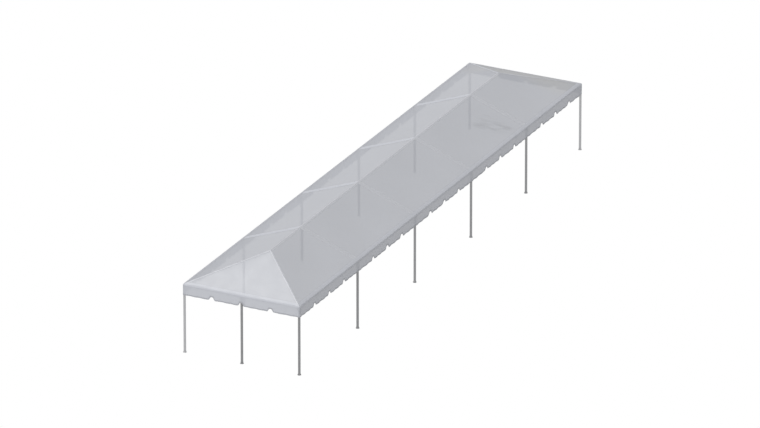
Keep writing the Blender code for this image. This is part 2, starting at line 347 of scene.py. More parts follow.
class Shade:
    """A material under construction: short calls that add and join its nodes."""

    # Where a colour Mix node keeps its factor, its two colours and its result
    MIX_INPUTS = (0, 6, 7)
    MIX_RESULT = 2

    def __init__(self, name):
        self.material = bpy.data.materials.new(name)
        self.material.use_nodes = True
        self.tree = self.material.node_tree
        self.tree.nodes.clear()
        self.surface = self.node("BsdfPrincipled")
        self.out = self.node("OutputMaterial", Surface=self.surface.outputs["BSDF"])

    def node(self, kind, **values):
        """A new node, with inputs given by name."""
        made = self.tree.nodes.new(f"ShaderNode{kind}")
        self.feed(made, **values)
        return made

    def feed(self, node, **values):
        """Gives inputs by name: underscores stand for spaces."""
        for name, value in values.items():
            self.give(node.inputs[name.replace("_", " ")], value)

    def give(self, socket, value):
        """Links a socket to another node's output, or sets it to a plain value."""
        if isinstance(value, bpy.types.NodeSocket):
            self.tree.links.new(value, socket)
        else:
            socket.default_value = value

    def places(self):
        """The piece's own coordinates, in metres."""
        return self.node("TexCoord").outputs["Object"]

    def cloth_places(self):
        """Metres across and along the cloth as it was cut."""
        cut = self.node("UVMap")
        cut.uv_map = "cut"
        return cut.outputs["UV"]

    def within(self, places, size, turn=0.0, centre=(0, 0, 0)):
        """Coordinates from a centre, along axes turned about Z, as shares of a size on each."""
        node = self.node("Mapping", Vector=places, Location=centre, Rotation=(0, 0, turn), Scale=size)
        node.vector_type = "TEXTURE"
        return node.outputs["Vector"]

    def cloud(self, places, scale, detail=3.0, roughness=0.55):
        """Soft irregular values from 0 to 1."""
        cloud = self.node("TexNoise", Vector=places, Scale=scale, Detail=detail, Roughness=roughness)
        return cloud.outputs["Fac"]

    def bands(self, places, scale, direction):
        """Even waves from 0 to 1 along one axis."""
        wave = self.node("TexWave", Vector=places, Scale=scale)
        wave.bands_direction = direction
        return wave.outputs["Fac"]

    def patch(self, places, centre, turn, size):
        """A soft oval: 1 at its centre, falling to 0 at its edge."""
        oval = self.node("TexGradient", Vector=self.within(places, size, turn, centre))
        oval.gradient_type = "SPHERICAL"
        return oval.outputs["Fac"]

    def joined(self, operation, first, second):
        """Two values joined by a math operation."""
        node = self.node("Math")
        node.operation = operation
        for socket, value in zip(node.inputs, (first, second)):
            self.give(socket, value)
        return node.outputs[0]

    def times(self, first, second):
        """One value times another."""
        return self.joined("MULTIPLY", first, second)

    def mixed(self, first, second, share):
        """Two values added up, with share of the sum from the second."""
        return self.joined("ADD", self.times(first, 1 - share), self.times(second, share))

    def spread(self, value, low=0.0, high=1.0, span=(0.3, 0.7)):
        """Values within span, carried to between low and high."""
        start, end = span
        node = self.node("MapRange", Value=value, From_Min=start, From_Max=end, To_Min=low, To_Max=high)
        return node.outputs["Result"]

    def blend(self, share, first, second):
        """A colour between two, by share."""
        node = self.node("Mix")
        node.data_type = "RGBA"
        for index, value in zip(self.MIX_INPUTS, (share, first, second)):
            self.give(node.inputs[index], value)
        return node.outputs[self.MIX_RESULT]

    def tones(self, share, level, blue, dark, light):
        """A grey between dark and light times a level, by share."""
        return self.blend(share, grey(level * dark, blue), grey(level * light, blue))

    def raised(self, height, strength, distance, over=None):
        """A bump, over another if one is given."""
        node = self.node("Bump", Height=height, Strength=strength, Distance=distance)
        if over is not None:
            self.feed(node, Normal=over)
        return node.outputs["Normal"]


def grey(level, blue):
    """A grey, a little bluer by blue."""
    return (level * (1 - blue), level * (1 - blue / 2), level * (1 + blue), 1)


def cloth_shade(name, level, see_through=0.0, glow=0.04, roughness=0.44, blue=CLOTH_BLUE, marked=False):
    """Coated fabric: faint mottling, a fine weave under the coating, and light coming through."""
    s = Shade(name)
    cut = s.cloth_places()
    mottle = s.spread(s.cloud(cut, scale=0.55, detail=4.0))
    speck = s.spread(s.cloud(cut, scale=9.0, detail=5.0, roughness=0.65))
    colour = s.tones(s.mixed(mottle, speck, share=0.35), level, blue, dark=0.975, light=1.025)
    bump = s.raised(s.cloud(cut, scale=3.0), strength=0.10, distance=0.01)
    if marked:
        colour, bump = add_marks(s, cut, level, blue, colour, bump)
    weave = s.times(s.bands(cut, WEAVE_PACE, "X"), s.bands(cut, WEAVE_PACE, "Y"))
    normal = s.raised(weave, strength=0.10, distance=0.0002, over=bump)
    rough = s.spread(s.cloud(cut, scale=2.0), roughness - 0.03, roughness + 0.03)
    # The coating's share of the mix is 1 - glow, and see_through of the light has to pass it by
    coating = 1 - see_through / (1 - glow)
    s.feed(s.surface, Base_Color=colour, Roughness=rough, Normal=normal, Alpha=coating)
    through = s.node("BsdfTranslucent", Color=grey(THROUGH_LEVEL, CLOTH_BLUE), Normal=normal)
    mix = s.node("MixShader", Fac=glow)
    s.give(mix.inputs[1], s.surface.outputs[0])
    s.give(mix.inputs[2], through.outputs[0])
    s.feed(s.out, Surface=mix.outputs[0])
    return s.material


def add_marks(s, cut, level, blue, colour, bump):
    """The pulled and creased place in the right slope, darkened along its wrinkles as painted shade,
    and the back hip painted paler as painted light: new colour and bump.
    """
    pulled = s.patch(cut, *PULL_MARK)
    lines = s.cloud(s.within(cut, WRINKLE_SIZE, PULL_TURN), scale=8.0, detail=2.0, roughness=0.5)
    wrinkles = s.times(s.spread(pulled, span=(0.0, 0.5)), lines)
    bump = s.raised(wrinkles, strength=1.0, distance=WRINKLE_HEIGHT, over=bump)
    # Painted shade: the pulled place darkens along its wrinkle lines
    wrinkle_shade = s.times(s.spread(pulled, span=(0.0, 0.6)), s.spread(lines, 1.0, 0.0, span=(0.35, 0.60)))
    colour = s.blend(wrinkle_shade, colour, grey(level * PULL_SHADE, blue))
    broken = s.spread(s.cloud(cut, scale=6.0, detail=4.0, roughness=0.6), low=0.35, span=(0.35, 0.6))
    # Painted shade along the creases: darker broken lines
    for mark in CREASE_MARKS:
        line = s.times(s.spread(s.patch(cut, *mark), span=(0.0, 0.8)), broken)
        colour = s.blend(line, colour, grey(level * CREASE_SHADE, blue))
    # Painted light: the back hip is made a little paler, and less blue
    paler_back_hip = s.spread(s.patch(cut, *BACK_HIP_MARK), span=(0.0, 0.5))
    colour = s.blend(paler_back_hip, colour, grey(level * BACK_HIP_SHADE, BACK_HIP_BLUE))
    return colour, bump


def webbing_shade(name, level):
    """Woven strap: close ribs, a little fuzz."""
    s = Shade(name)
    cut = s.cloth_places()
    ribs = s.bands(cut, RIB_PACE, "Y")
    fuzz = s.cloud(cut, scale=300.0, detail=2.0)
    colour = s.tones(s.mixed(ribs, fuzz, share=0.6), level, WEBBING_BLUE, dark=0.93, light=1.04)
    normal = s.raised(ribs, strength=0.3, distance=0.0006)
    s.feed(s.surface, Base_Color=colour, Roughness=0.6, Normal=normal, Sheen_Weight=0.1)
    return s.material


def metal_shade(name, level, roughness, grain):
    """Bare aluminium: cloudy oxide and fine scratches along the grain, duller where it is paler."""
    s = Shade(name)
    places = s.places()
    film = s.spread(s.cloud(places, scale=3.0, detail=5.0, roughness=0.6))
    streaks = s.spread(s.cloud(s.within(places, grain), scale=60.0))
    tone = s.mixed(film, streaks, share=0.4)
    colour = s.tones(tone, level, METAL_BLUE, dark=0.90, light=1.08)
    rough = s.spread(tone, roughness - 0.06, roughness + 0.08, span=(0.0, 1.0))
    normal = s.raised(streaks, strength=0.12, distance=0.0004)
    s.feed(s.surface, Base_Color=colour, Metallic=0.92, Roughness=rough, Normal=normal)
    return s.material


def cast_shade(name, level):
    """Sand-cast aluminium: a pebbled skin with darker pits."""
    s = Shade(name)
    places = s.places()
    pebble = s.cloud(places, scale=420.0, detail=4.0, roughness=0.6)
    film = s.spread(s.cloud(places, scale=8.0, detail=4.0))
    colour = s.tones(s.mixed(film, pebble, share=0.5), level, METAL_BLUE, dark=0.85, light=1.10)
    rough = s.spread(film, 0.48, 0.60, span=(0.0, 1.0))
    normal = s.raised(pebble, strength=0.35, distance=0.0006)
    s.feed(s.surface, Base_Color=colour, Metallic=0.85, Roughness=rough, Normal=normal)
    return s.material


# The canopy sheet


def corner_lines():
    """Insets from the outer face over the rounded eave and corner."""
    arc = [CORNER_RADIUS * (1 - cos(ARC_TURN * k / ARC_STEPS)) for k in range(ARC_STEPS + 1)]
    return arc + [(ARC_INSET + CORNER_RADIUS) / 2, CORNER_RADIUS]


def edge_lines(reach):
    """Distances from a corner along an edge, close together at each notch, as far as reach."""
    lines = corner_lines()
    for k in range(1, round(reach / TAB) + 1):
        start = lines[-1]
        stop = k * TAB - NOTCH_FOOT_HALF
        lines += [start + (stop - start) * i / TAB_LINES for i in range(1, TAB_LINES + 1)]
        lines += [stop + 2 * NOTCH_FOOT_HALF * i / NOTCH_LINES for i in range(1, NOTCH_LINES + 1)]
    return [line for line in lines if line < reach + ROUNDING]


def both_ways(half):
    """The lines of an edge of length 2 * half, from its middle out to both corners."""
    lines = edge_lines(half)
    return [line - half for line in lines] + [half - line for line in reversed(lines[:-1])]


def insets(x, y):
    """How far a point of the plan lies in from the side and from the end."""
    return HALF_WIDTH - abs(x), HALF_LENGTH - abs(y)


def arch(share):
    """0 at both ends, 1 in the middle."""
    return sin(pi * min(max(share, 0.0), 1.0))


def up_slope(inset):
    """Share of the way up the slope, from where the sheet leaves the eave tube."""
    return (inset - ARC_INSET) / (HALF_WIDTH - ARC_INSET)


def sag(x, y):
    """How far the sheet hangs below its flat slope, between the tubes that carry it."""
    side, end = insets(x, y)
    height = arch(up_slope(min(side, end)))
    if end < side:
        reach = HALF_WIDTH - end
        return BAY_SAG * height * arch((x + reach) / (2 * reach)) if reach > 0 else 0.0
    outer = HALF_LENGTH - side
    edges = [-outer, *BAY_LINES[1:-1], outer]
    for low, high in zip(edges, edges[1:]):
        if low <= y <= high:
            return BAY_SAG * height * arch((y - low) / (high - low)) * min(1, (high - low) / BAY)
    return 0.0


def crease(x, y):
    """The slight ridge where the sheet is stretched over a rafter."""
    side, end = insets(x, y)
    if end < side:
        return 0.0
    near = min(abs(y - line) for line in BAY_LINES[1:-1])
    if near > CREASE_HALF_WIDTH:
        return 0.0
    return RAFTER_CREASE * (1 + cos(pi * near / CREASE_HALF_WIDTH)) / 2 * arch(up_slope(side))


def waves(x, y, pace_x, pace_y, layer):
    """Smooth irregular values about 0 over the plan."""
    return noise.noise(Vector((x * pace_x, y * pace_y, layer)))


def ripple(x, y, inset):
    """Low irregular waves, none at the eave."""
    height = waves(x, y, *COARSE_RIPPLE) + FINE_RIPPLE_SHARE * waves(x, y, *FINE_RIPPLE)
    return RIPPLE * height * min(1.0, inset / RIPPLE_FULL_INSET)


def pull(x, y):
    """How far the sheet lies below itself in the one pulled place."""
    run = PULL_END - PULL_START
    off = Vector((x, y)) - PULL_START
    share = off.dot(run) / run.length_squared
    across = (off.x * run.y - off.y * run.x) / run.length / PULL_HALF_WIDTH
    if not 0 < share < 1 or abs(across) >= 1:
        return 0.0
    fade = arch(share) * (1 + cos(pi * across)) / 2
    wander = PULL_WANDER * sin(PULL_WANDER_PACE * share)
    return PULL_DEPTH * fade * cos(PULL_FOLDS * pi * across + wander)


def corner_pull(x, y):
    """Shallow folds that fan out from each corner, where the sheet is stretched over its fitting."""
    side, end = insets(x, y)
    away = hypot(side, end)
    if away >= CORNER_PULL_REACH:
        return 0.0
    fan = sin(CORNER_FOLDS * atan2(min(side, end), max(side, end)))
    return CORNER_PULL * fan * sin(pi * away / CORNER_PULL_REACH) ** 2


def flat_height(inset):
    """Height of the taut sheet at an inset: the slope, rounded over the eave tube."""
    if inset < ARC_INSET:
        return EAVE_Z + sqrt(max(0.0, CORNER_RADIUS**2 - (CORNER_RADIUS - inset) ** 2))
    return EAVE_HEIGHT + inset * tan(SLOPE)


def rounded(x, y):
    """Carries a point of the sharp-cornered plan to where the sheet wraps the corner fitting."""
    side, end = insets(x, y)
    near, far = min(side, end), max(side, end)
    if far >= CORNER_RADIUS:
        return x, y
    reach = CORNER_RADIUS - near
    turn = pi / 4 * (CORNER_RADIUS - far) / reach
    to_near, to_far = CORNER_RADIUS - reach * cos(turn), CORNER_RADIUS - reach * sin(turn)
    side, end = (to_near, to_far) if side <= end else (to_far, to_near)
    return copysign(HALF_WIDTH - side, x), copysign(HALF_LENGTH - end, y)


def roof_point(x, y, lift=0.0):
    """The sheet's outer face over a point of the plan, raised straight up by lift."""
    inset = min(insets(x, y))
    px, py = rounded(x, y)
    drape = 0.0
    if inset > ARC_INSET:
        drape = crease(x, y) + ripple(x, y, inset) + corner_pull(x, y) - sag(x, y) - pull(x, y)
    return Vector((px, py, flat_height(inset) + drape + lift))


def notch(along):
    """How far the valance's lower edge rises at a distance along from a corner, and how steeply."""
    off = abs(along - TAB * round(along / TAB))
    if off >= NOTCH_FOOT_HALF:
        return 0.0, 0.0
    width = NOTCH_FOOT_HALF - NOTCH_TOP_HALF
    step = min(1.0, (NOTCH_FOOT_HALF - off) / width)
    steepness = NOTCH_HEIGHT * pi / 2 * sin(pi * step) / width
    return NOTCH_HEIGHT * (1 - cos(pi * step)) / 2, steepness


def rim_along(x, y):
    """Distance of a rim point along its edge, from the front or left corner."""
    side, end = insets(x, y)
    return HALF_LENGTH + y if side <= end else HALF_WIDTH + x


def rim_foot(x, y):
    """Height of the valance's lower edge under a rim point, and how steeply it rises there."""
    along = rim_along(x, y)
    at_bay_end = round(along / TAB) % TABS_PER_BAY == 0
    rise, steepness = (0.0, 0.0) if at_bay_end else notch(along)
    return VALANCE_FOOT + rise, steepness


def outward(x, y):
    """Unit vector down the fall of the sheet in plan, turned round the corners."""
    side, end = insets(x, y)
    if max(side, end) >= CORNER_RADIUS:
        if side <= end:
            return Vector((copysign(1, x), 0, 0))
        return Vector((0, copysign(1, y), 0))
    px, py = rounded(x, y)
    centre = Vector((copysign(EAVE_X, x), copysign(EAVE_Y, y), 0))
    return (Vector((px, py, 0)) - centre).normalized()


def flare(x, y, share):
    """How far the hanging valance stands out at a share of its depth."""
    swing = sin(SWING_PACES[0] * x + SWING_PACES[1] * y)
    swing += SWING_UNEVENNESS * waves(x, y, *SWING_WAVES, share)
    folds = sin(FOLD_PACE * (x + y) + FOLD_WANDER * waves(x, y, *FOLD_WAVES))
    return VALANCE_FLARE * (swing + FOLD_SHARE * folds) * share**2


def valance_point(x, y, z, lift=0.0):
    """The valance's outer face under a rim point at height z, moved out by lift."""
    px, py = rounded(x, y)
    share = (EAVE_Z - z) / (EAVE_Z - VALANCE_FOOT)
    return Vector((px, py, z)) + outward(x, y) * (flare(x, y, share) + lift)


def rim_path(xs, ys):
    """Grid indices round the sheet's rim, from the front left corner by the right side."""
    last_x, last_y = len(xs) - 1, len(ys) - 1
    path = [(i, 0) for i in range(last_x)]
    path += [(last_x, j) for j in range(last_y)]
    path += [(i, last_y) for i in range(last_x, 0, -1)]
    return path + [(0, j) for j in range(last_y, 0, -1)]


def make_canopy(roof_shade, valance_shade):
    """The whole sheet in one piece: roof, rounded eave and notched valance."""
    xs, ys = both_ways(HALF_WIDTH), both_ways(HALF_LENGTH)
    points, cuts, faces = [], [], []
    for y in ys:
        for x in xs:
            points.append(roof_point(x, y))
            cuts.append((x / cos(SLOPE), y / cos(SLOPE)))
    for j in range(len(ys) - 1):
        for i in range(len(xs) - 1):
            a = j * len(xs) + i
            faces.append((a, a + 1, a + 1 + len(xs), a + len(xs)))
    roof_faces = len(faces)
    rim = rim_path(xs, ys)
    above = [j * len(xs) + i for i, j in rim]
    for row in range(1, VALANCE_ROWS + 1):
        first = len(points)
        for i, j in rim:
            x, y = xs[i], ys[j]
            drop = (EAVE_Z - rim_foot(x, y)[0]) * row / VALANCE_ROWS
            points.append(valance_point(x, y, EAVE_Z - drop))
            out = outward(x, y)
            cuts.append(((x + out.x * drop) / cos(SLOPE), (y + out.y * drop) / cos(SLOPE)))
        below = [first + k for k in range(len(rim))]
        for k in range(len(rim)):
            n = (k + 1) % len(rim)
            faces.append((above[n], above[k], below[k], below[n]))
        above = below
    piece = add_piece("canopy", points, faces, roof_shade, cuts, solid=False)
    piece.data.materials.append(valance_shade)
    for face in piece.data.polygons[roof_faces:]:
        face.material_index = 1
    return piece


# Pieces made in mesh code


def add_piece(name, points, faces, shade, cuts, smooth=35, solid=True):
    """An object on the body root: cuts holds each point's place on the cloth as it was cut."""
    mesh = bpy.data.meshes.new(name)
    mesh.from_pydata([tuple(p) for p in points], [], faces)
    if solid:
        face_outwards(mesh)
    layer = mesh.uv_layers.new(name="cut")
    for loop in mesh.loops:
        layer.data[loop.index].uv = cuts[loop.vertex_index]
    finish_mesh(mesh, shade, smooth)
    piece = add_object(name, mesh)
    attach(piece, "root")
    return piece


def finish_mesh(mesh, shade, smooth):
    """Gives a mesh its shade, smooth but for edges sharper than smooth degrees."""
    mesh.materials.append(shade)
    mesh.shade_smooth()
    mesh.set_sharp_from_angle(angle=radians(smooth))


def face_outwards(mesh):
    """Turns the faces of closed solids outwards."""
    shape = bmesh.new()
    shape.from_mesh(mesh)
    bmesh.ops.recalc_face_normals(shape, faces=shape.faces)
    shape.to_mesh(mesh)
    shape.free()


class Parts:
    """Points and faces of many like things, gathered into one mesh."""

    def __init__(self):
        self.points, self.faces, self.cuts = [], [], []

    def add(self, points, faces, cuts=None):
        first = len(self.points)
        self.points += points
        self.faces += [tuple(first + v for v in face) for face in faces]
        self.cuts += cuts or [(0.0, 0.0)] * len(points)

    def piece(self, name, shade, smooth=35):
        return add_piece(name, self.points, self.faces, shade, self.cuts, smooth)


def band(rows, ring=False):
    """A closed thin band: rows are cross-sections, each a loop of the same number of points."""
    count = len(rows[0])
    points = [p for row in rows for p in row]
    faces = []
    for r in range(len(rows) if ring else len(rows) - 1):
        low, high = r * count, (r + 1) % len(rows) * count
        for k in range(count):
            n = (k + 1) % count
            faces.append((low + k, low + n, high + n, high + k))
    if not ring:
        faces.append(tuple(reversed(range(count))))
        faces.append(tuple((len(rows) - 1) * count + k for k in range(count)))
    return points, faces


def tape_row(x, y, across, half):
    """One cross-section of a tape that follows the roof, about a point of the plan."""
    line = [(x + across[0] * half * o, y + across[1] * half * o) for o in TAPE_OFFSETS]
    outer = [roof_point(*place, TAPE_HIGH) for place in line]
    return outer + [roof_point(*place, TAPE_LOW) for place in reversed(line)]


def add_tape(parts, start, end, across, half):
    """One straight tape over the roof."""
    start, run = Vector(start), Vector(end) - Vector(start)
    count = max(2, ceil(run.length / TAPE_STEP))
    rows = [tape_row(*(start + run * k / count), across, half) for k in range(count + 1)]
    offsets = [*TAPE_OFFSETS, *reversed(TAPE_OFFSETS)]
    cuts = [(o * half, run.length * k / count) for k in range(count + 1) for o in offsets]
    parts.add(*band(rows), cuts)


def add_hip_tape(parts, side, end):
    """The tape over one hip, from the eave band to the ridge's end."""
    start = (side * (HALF_WIDTH - BAND_INSET), end * (HALF_LENGTH - BAND_INSET))
    across = (side * sqrt(0.5), -end * sqrt(0.5))
    add_tape(parts, start, (0.0, end * RIDGE_Y), across, HIP_TAPE_HALF)


def make_tapes(lighter_copy, usual_tape):
    """Welded tapes over the hips, the ridge and each rafter, paler than the cloth as a painted
    highlight along the hips: those on the left slope and its back hip are paler still, a painted
    highlight.
    """
    ridge, hips, back_hip, left, right = (Parts() for _ in range(5))
    add_tape(ridge, (0, -RIDGE_Y), (0, RIDGE_Y), (1, 0), RIDGE_TAPE_HALF)
    for side, end in ((-1, -1), (1, -1), (1, 1)):
        add_hip_tape(hips, side, end)
    add_hip_tape(back_hip, -1, 1)
    foot, top = HALF_WIDTH - BAND_INSET, RIDGE_TAPE_HALF
    for y in BAY_LINES[1:-1]:
        shifted = y + STRIP_SHIFT_LEFT
        add_tape(left, (-foot, shifted), (-top, shifted), (0, -1), STRIP_HALF_LEFT)
        add_tape(right, (foot, y), (top, y), (0, 1), STRIP_HALF_RIGHT)
    return [
        ridge.piece("ridge_seam_tape", usual_tape),
        hips.piece("hip_seam_tapes", usual_tape),
        back_hip.piece("hip_seam_tape_back_left", lighter_copy),
        left.piece("rafter_chafe_strips_left", lighter_copy),
        right.piece("rafter_chafe_strips_right", usual_tape),
    ]


def rim_points():
    """Points of the plan round the rim, as the sheet is divided."""
    xs, ys = both_ways(HALF_WIDTH), both_ways(HALF_LENGTH)
    return [(xs[i], ys[j]) for i, j in rim_path(xs, ys)]


def inward(x, y, inset):
    """The point at an inset in from a rim point, drawn together evenly towards the corners."""
    side, end = insets(x, y)
    half = HALF_LENGTH if side <= end else HALF_WIDTH
    along = inset + max(side, end) * (half - inset) / half
    side, end = (inset, along) if side <= end else (along, inset)
    return copysign(HALF_WIDTH - side, x), copysign(HALF_LENGTH - end, y)


def off_roof(x, y, lift):
    """A point lifted off the sheet's outer face, square to it."""
    inset = min(insets(x, y))
    turn = acos(1 - inset / CORNER_RADIUS) if inset < ARC_INSET else ARC_TURN
    return roof_point(x, y) + swung(outward(x, y), UP, turn) * lift


def make_eave_band(lighter_copy, shaded_band):
    """The doubled cloth round the eave, from the slope to just past the rim, darker along the left eave
    as painted shade.
    """
    steps = [BAND_INSET, *reversed(corner_lines())]
    rows, cuts = [], []
    for x, y in rim_points():
        outer = [off_roof(*inward(x, y, step), BAND_HIGH) for step in steps]
        inner = [off_roof(*inward(x, y, step), BAND_LOW) for step in steps]
        outer.append(valance_point(x, y, EAVE_Z - BAND_DROP, BAND_HIGH))
        inner.append(valance_point(x, y, EAVE_Z - BAND_DROP, BAND_LOW))
        rows.append(outer + inner[::-1])
        heights = [BAND_INSET * k / len(steps) for k in range(len(outer))]
        cuts += [(rim_along(x, y), height) for height in heights + heights[::-1]]
    piece = add_piece("eave_band", *band(rows, ring=True), lighter_copy, cuts)
    # Painted shade: the band along the left eave takes the darker copy of its cloth
    piece.data.materials.append(shaded_band)
    for face in piece.data.polygons:
        side, end = insets(face.center.x, face.center.y)
        if face.center.x < 0 and side < end:
            face.material_index = 1
    return piece


def make_hem(shade):
    """The binding folded over the valance's notched edge, as wide on the slants as on the flats."""
    rows, cuts = [], []
    for x, y in rim_points():
        foot, steepness = rim_foot(x, y)
        top = foot + HEM_HEIGHT * hypot(1, steepness)
        heights = [top, (top + foot) / 2, foot - HEM_HALF_THICKNESS]
        outer = [valance_point(x, y, z, HEM_HALF_THICKNESS) for z in heights]
        inner = [valance_point(x, y, z, -HEM_HALF_THICKNESS) for z in heights]
        rows.append(outer + inner[::-1])
        cuts += [(rim_along(x, y), z) for z in heights + heights[::-1]]
    return add_piece("valance_hem", *band(rows, ring=True), shade, cuts)


# Legs, bolts, weld beads and straps


def turns(count, shift=0.0):
    """Angles of even steps round a circle, moved on by a share of a step."""
    return [2 * pi * (k + shift) / count for k in range(count)]


def swung(first, second, turn):
    """A direction turned by an angle from one unit vector towards another square to it."""
    return first * cos(turn) + second * sin(turn)


def aimed(seat, direction):
    """Places a thing made upwards from the origin at a seat, facing direction."""
    return Matrix.Translation(seat) @ direction.to_track_quat("Z", "Y").to_matrix().to_4x4()


def circle(centre, radius, z, sides):
    """Points of a level ring."""
    x, y = centre
    return [(x + radius * cos(t), y + radius * sin(t), z) for t in turns(sides)]


def lathe(profile, sides, place):
    """A turned solid with flat ends: profile is (radius, height) pairs."""
    return band([[place @ Vector(p) for p in circle((0, 0), *row, sides)] for row in profile])


def walls(shape, loops):
    """Faces between rings of the same number of vertices, one after the other."""
    for low, high in zip(loops, loops[1:]):
        for k in range(len(low)):
            n = (k + 1) % len(low)
            shape.faces.new((low[k], low[n], high[n], high[k]))


def fill_between(shape, loops):
    """A flat face bounded by level rings, with the inner ones as holes in it."""
    edges = []
    for loop in loops:
        for k in range(len(loop)):
            pair = (loop[k], loop[(k + 1) % len(loop)])
            edges.append(shape.edges.get(pair) or shape.edges.new(pair))
    bmesh.ops.triangle_fill(shape, use_beauty=True, use_dissolve=False, edges=edges)


def rings(shape, profile, sides, centre=(0, 0)):
    """New vertices in level rings: profile is (radius, height) pairs."""
    return [[shape.verts.new(p) for p in circle(centre, *row, sides)] for row in profile]


def plate_profile():
    """Radius and height up the rim of the foot plate."""
    return [
        (FOOT_RADIUS - EDGE_BREAK, 0.0),
        (FOOT_RADIUS, EDGE_BREAK),
        (FOOT_RADIUS, FOOT_THICKNESS - EDGE_BREAK),
        (FOOT_RADIUS - EDGE_BREAK, FOOT_THICKNESS),
    ]


def upright_profile():
    """Radius and height up the weld on the plate, the shoe and the tube, and into the tube's bore."""
    mouth = LEG_RADIUS + SHOE_PLAY
    bore = LEG_RADIUS - LEG_WALL
    return [
        (SHOE_RADIUS + WELD_SIZE, FOOT_THICKNESS),
        (SHOE_RADIUS + WELD_BULGE, FOOT_THICKNESS + WELD_BULGE),
        (SHOE_RADIUS, FOOT_THICKNESS + WELD_SIZE),
        (SHOE_RADIUS, SHOE_HEIGHT - 2 * EDGE_BREAK),
        (SHOE_RADIUS - 2 * EDGE_BREAK, SHOE_HEIGHT),
        (mouth, SHOE_HEIGHT),
        (mouth, SHOE_HEIGHT - SHOE_LIP),
        (LEG_RADIUS, SHOE_HEIGHT - SHOE_LIP),
        (LEG_RADIUS, LEG_TOP - EDGE_BREAK),
        (LEG_RADIUS - EDGE_BREAK, LEG_TOP),
        (bore, LEG_TOP),
        (bore, LEG_TOP - LEG_BORE_SHOWN),
    ]


def leg_mesh(shade):
    """A leg about its own axis: a foot plate with stake holes, a welded shoe and an open tube."""
    shape = bmesh.new()
    outer = rings(shape, plate_profile(), LEG_SIDES)
    inner = rings(shape, upright_profile(), LEG_SIDES)
    walls(shape, outer)
    walls(shape, inner)
    shape.faces.new(inner[-1])
    holes = []
    for turn in turns(STAKE_HOLES, shift=0.5):
        centre = (STAKE_HOLE_REACH * cos(turn), STAKE_HOLE_REACH * sin(turn))
        drill = [(STAKE_HOLE_RADIUS, z) for z in (0.0, FOOT_THICKNESS)]
        holes.append(rings(shape, drill, STAKE_HOLE_SIDES, centre))
        walls(shape, holes[-1])
    fill_between(shape, [outer[0], *[hole[0] for hole in holes]])
    fill_between(shape, [outer[-1], inner[0], *[hole[1] for hole in holes]])
    bmesh.ops.recalc_face_normals(shape, faces=shape.faces)
    mesh = bpy.data.meshes.new(f"leg_in_{shade.name}")
    shape.to_mesh(mesh)
    shape.free()
    finish_mesh(mesh, shade, smooth=30)
    return mesh


def leg_places():
    """Each leg's node name, with where it stands and which way is into the tent."""
    places = {"leg_front_middle": (Vector((0, -EAVE_Y, 0)), Vector((0, 1, 0)))}
    for label, side in (("left", -1), ("right", 1)):
        for i, y in enumerate(BAY_LINES):
            places[f"leg_{label}_{i + 1}"] = (Vector((side * EAVE_X, y, 0)), Vector((-side, 0, 0)))
    return places


def make_legs(plain, others):
    """The detailed legs, one over each plain one: others gives the odd ones' shades by node name."""
    shades = {shade.name: shade for shade in (plain, *others.values())}
    meshes = {name: leg_mesh(shade) for name, shade in shades.items()}
    for node_name, (place, _) in leg_places().items():
        shade = others.get(node_name, plain)
        leg = add_object(f"{node_name}_upright", meshes[shade.name])
        leg.location = place
        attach(leg, "root")
        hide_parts(node_name)


def rafter_foot(side, y):
    """Where a rafter's axis crosses over the eave tube."""
    return Vector((side * EAVE_X, y, EAVE_HEIGHT + (HALF_WIDTH - EAVE_X) * tan(SLOPE) - AXIS_DROP))


def ridge_axis(y):
    """A point on the ridge tube's axis."""
    return Vector((0, y, EAVE_HEIGHT + RISE - AXIS_DROP))


def rafter_rise(side):
    """Unit vector up a rafter."""
    return Vector((-side * cos(SLOPE), 0, sin(SLOPE)))


def add_weld(parts, foot, axis, radius, centre, body_axis, body_radius):
    """A bead where a tube, from foot along axis, comes out of the side of another, the body."""
    across = axis.orthogonal().normalized()
    other = axis.cross(across)
    flat_axis = axis - body_axis * axis.dot(body_axis)
    path, outs = [], []
    for turn in turns(WELD_STEPS, shift=0.5):
        radial = swung(across, other, turn)
        start = foot + radial * radius - centre
        flat_start = start - body_axis * start.dot(body_axis)
        # How far along this line of the tube's side it crosses the body's, a quadratic's larger root
        a, b = flat_axis.length_squared, flat_start.dot(flat_axis)
        reach = (-b + sqrt(max(0.0, b * b - a * (flat_start.length_squared - body_radius**2)))) / a
        path.append(foot + radial * radius + axis * reach)
        outs.append((radial + (flat_start + flat_axis * reach).normalized()).normalized())
    rows = []
    for k, point in enumerate(path):
        tangent = (path[(k + 1) % WELD_STEPS] - path[k - 1]).normalized()
        side = tangent.cross(outs[k])
        size = WELD_SIZE * (1 + WELD_UNEVENNESS * sin(WELD_LUMP_PACE * k))
        rows.append([point + swung(outs[k], side, t) * size for t in turns(WELD_SIDES)])
    parts.add(*band(rows, ring=True))


def make_weld_beads(shade):
    """Beads round each rafter socket, and each leg socket away from the corners, on the eave tubes and
    the ridge.
    """
    beads = Parts()
    along = Vector((0, 1, 0))
    for side in (-1, 1):
        rise = rafter_rise(side)
        for y in BAY_LINES[1:-1]:
            eave, ridge = Vector((side * EAVE_X, y, EAVE_Z)), ridge_axis(y)
            add_weld(beads, eave, -UP, SOCKET_RADIUS, eave, along, SOCKET_RADIUS)
            add_weld(beads, rafter_foot(side, y), rise, ROOF_SOCKET_RADIUS, eave, along, SOCKET_RADIUS)
            add_weld(beads, ridge, -rise, ROOF_SOCKET_RADIUS, ridge, along, ROOF_SOCKET_RADIUS)
    front = Vector((0, -EAVE_Y, EAVE_Z))
    add_weld(beads, front, -UP, SOCKET_RADIUS, front, Vector((1, 0, 0)), SOCKET_RADIUS)
    piece = beads.piece("socket_weld_beads", shade, smooth=60)


